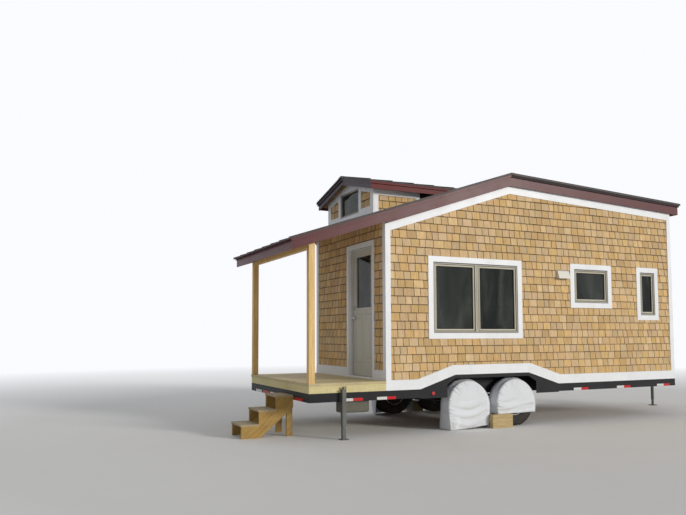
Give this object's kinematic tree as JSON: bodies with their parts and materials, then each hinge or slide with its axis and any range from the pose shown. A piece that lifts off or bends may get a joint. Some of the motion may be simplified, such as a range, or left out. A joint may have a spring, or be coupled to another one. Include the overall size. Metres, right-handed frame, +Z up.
{
  "type": "tiny house on a trailer",
  "caption": "Timber tiny house on a tandem-axle trailer, with a roofed porch, a loft dormer, an entry door, steps and covered wheels.",
  "frame": {"origin": "on the ground below the middle of the whole, tongue and steps included", "axes": "+X along the trailer towards the coupler, +Z up, and the long wall seen in the picture faces -Y"},
  "size_m": [9.555, 2.8, 4.107],
  "materials": {
    "framing_timber": "satin",
    "cedar_siding": "matte",
    "white_trim": "satin",
    "fascia_paint": "satin",
    "roofing_metal": "satin",
    "window_paint": "satin",
    "window_glass": "gloss",
    "door_paint": "satin",
    "hardware_steel": "satin",
    "vent_metal": "satin",
    "deck_timber": "matte",
    "post_timber": "matte",
    "step_timber": "matte",
    "chassis_paint": "satin",
    "zinc_steel": "satin",
    "spring_steel": "matte",
    "rim_paint": "satin",
    "tyre_rubber": "matte",
    "cover_fabric": "matte",
    "block_timber": "matte",
    "marker_plastic": "gloss",
    "tank_plastic": "satin"
  },
  "bodies": {
    "house": {"floor": "framing_timber", "long_walls": "cedar_siding", "porch_walls": "cedar_siding", "tow_wall": "cedar_siding", "roof_panels": "framing_timber", "roof_covering": "roofing_metal", "ridge_caps": "roofing_metal", "dormer_walls": "cedar_siding", "dormer_roof": "framing_timber", "dormer_trim": "white_trim", "dormer_fascia": "fascia_paint", "fascia_boards": "fascia_paint", "frieze_boards": "white_trim", "corner_boards": "white_trim", "skirt_boards": "white_trim", "window_frames": "window_paint", "window_glass": "window_glass", "casings": "white_trim", "door_frame": "white_trim", "door_hinges": "hardware_steel", "vent_hood": "vent_metal", "deck_boards": "deck_timber", "deck_frame": "deck_timber", "porch_frame": "post_timber", "step_stringers": "step_timber", "step_treads": "deck_timber", "trailer_rails": "chassis_paint", "crossmembers": "chassis_paint", "tongue_beams": "chassis_paint", "coupler": "chassis_paint", "tongue_jack": "zinc_steel", "axles": "chassis_paint", "leaf_springs": "spring_steel", "wheel_rims": "rim_paint", "tyres": "tyre_rubber", "fenders": "chassis_paint", "wheel_covers": "cover_fabric", "jack_housings": "zinc_steel", "wheel_blocks": "block_timber", "marker_lights": "marker_plastic", "water_tank": "tank_plastic"},
    "door": {"door_leaf": "door_paint", "door_glass": "window_glass", "door_handle": "hardware_steel", "leaf_hinges": "hardware_steel"},
    "near_jack": {"near_jack_leg": "zinc_steel"},
    "far_jack": {"far_jack_leg": "zinc_steel"}
  },
  "joints": [
    {"name": "door_hinge", "type": "hinge", "parent": "house", "child": "door", "pos_m": [-2.6355, -0.8535, 1.835], "axis": [0, 0, -1], "range_deg": [0, 100]},
    {"name": "near_jack_slide", "type": "slide", "parent": "house", "child": "near_jack", "axis": [0, 0, 1], "range_m": [0, 0.15]},
    {"name": "far_jack_slide", "type": "slide", "parent": "house", "child": "far_jack", "axis": [0, 0, 1], "range_m": [0, 0.15]}
  ]
}
